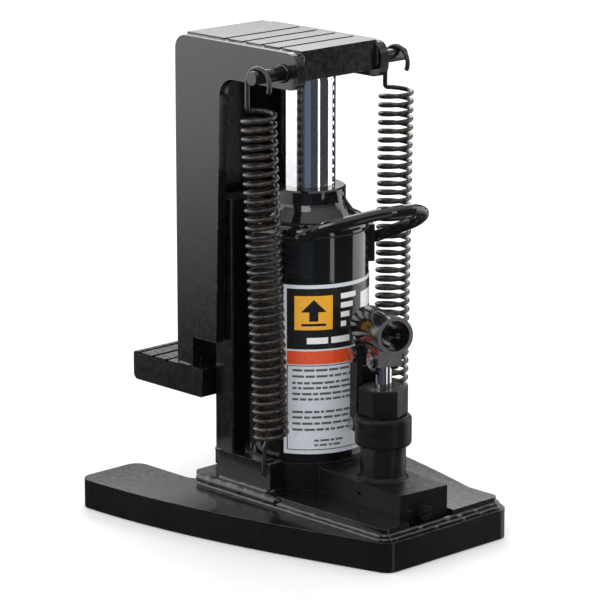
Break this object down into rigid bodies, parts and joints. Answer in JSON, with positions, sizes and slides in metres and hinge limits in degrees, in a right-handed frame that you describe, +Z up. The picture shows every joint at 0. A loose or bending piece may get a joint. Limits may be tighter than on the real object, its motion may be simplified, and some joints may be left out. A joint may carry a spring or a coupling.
{
  "type": "hydraulic toe jack",
  "caption": "Hydraulic toe jack: a bottle jack in a welded steel base lifts a carriage with a ribbed head on top and a low toe at the back, with return springs.",
  "frame": {"origin": "on the ground under the ram axis, on the base plate's underside", "axes": "+Z up along the ram; +Y towards the toe; -Y towards the pump and handle socket; X across the base"},
  "size_m": [0.1996, 0.252, 0.308],
  "materials": {
    "black_paint": "gloss black enamel over rough plate",
    "jack_paint": "high gloss black enamel",
    "pump_paint": "satin black enamel over castings",
    "chrome": "hard chrome, polished",
    "bare_steel": "turned steel, lightly oiled",
    "spring_steel": "oil-blackened spring wire",
    "seal_rubber": "matt nitrile rubber",
    "filter_mesh": "fine brass gauze",
    "label_film": "printed silver-grey film"
  },
  "bodies": {
    "base": {"base_plate": "black_paint", "mounting_plate": "black_paint", "guide_foot": "black_paint", "guide_bar_left": "black_paint", "guide_bar_right": "black_paint", "guide_tie_plate": "black_paint", "spring_anchor_left": "black_paint", "spring_anchor_right": "black_paint", "jack_base": "pump_paint", "tank_tube": "jack_paint", "tank_seal": "seal_rubber", "top_nut": "jack_paint", "ram_wiper": "seal_rubber", "pressure_cylinder": "bare_steel", "cylinder_gasket": "seal_rubber", "oil_filter": "filter_mesh", "filler_plug": "seal_rubber", "carry_handle": "jack_paint", "label": "label_film", "pump_cylinder": "pump_paint", "pump_packing": "seal_rubber", "inlet_ball": "bare_steel", "delivery_ball": "bare_steel", "delivery_spring": "bare_steel", "relief_screw": "pump_paint", "relief_spring": "bare_steel", "relief_ball": "bare_steel", "passage_plug": "pump_paint", "valve_ring": "seal_rubber", "return_spring_left": "spring_steel", "return_spring_right": "spring_steel"},
    "carriage": {"head_plate": "black_paint", "gusset_left": "black_paint", "gusset_right": "black_paint", "back_web": "black_paint", "toe_block": "black_paint", "spring_pin_left": "black_paint", "spring_pin_right": "black_paint", "ram": "chrome", "ram_piston": "bare_steel", "piston_seal": "seal_rubber", "piston_nut": "bare_steel"},
    "yoke": {"swivel_collar": "pump_paint", "link_arm_left": "pump_paint", "link_arm_right": "pump_paint", "link_web": "pump_paint", "link_pin": "bare_steel", "rear_pivot_pin": "bare_steel", "link_clip_low": "bare_steel", "link_clip_high": "bare_steel"},
    "socket": {"handle_socket": "pump_paint"},
    "plunger": {"pump_plunger": "chrome", "plunger_pin": "bare_steel", "pin_clip_left": "bare_steel", "pin_clip_right": "bare_steel"},
    "valve": {"release_valve": "pump_paint"}
  },
  "joints": [
    {"name": "lift_slide", "type": "slide", "parent": "base", "child": "carriage", "axis": [0, 0, 1], "range_m": [-0.068, 0.037], "deforming": ["return_spring_left", "return_spring_right"]},
    {"name": "pump_swivel", "type": "hinge", "parent": "base", "child": "yoke", "pos_m": [-0.00654, -0.07472, 0.07], "axis": [0, 0, 1], "range_deg": [-43, 77]},
    {"name": "socket_rock", "type": "hinge", "parent": "yoke", "child": "socket", "pos_m": [0.00096, -0.05617, 0.116], "axis": [-0.9272, 0.3746, 0], "range_deg": [-18, 19]},
    {"name": "plunger_stroke", "type": "slide", "parent": "yoke", "child": "plunger", "axis": [0, 0, 1], "range_m": [-0.0067, 0.007]},
    {"name": "release_turn", "type": "hinge", "parent": "base", "child": "valve", "pos_m": [-0.01193, -0.11339, 0.028], "axis": [-0.0872, -0.9962, 0], "range_deg": [0, 360]}
  ],
  "couplings": [
    {"joint": "plunger_stroke", "follows": "socket_rock", "m_per_rad": 0.0207}
  ]
}
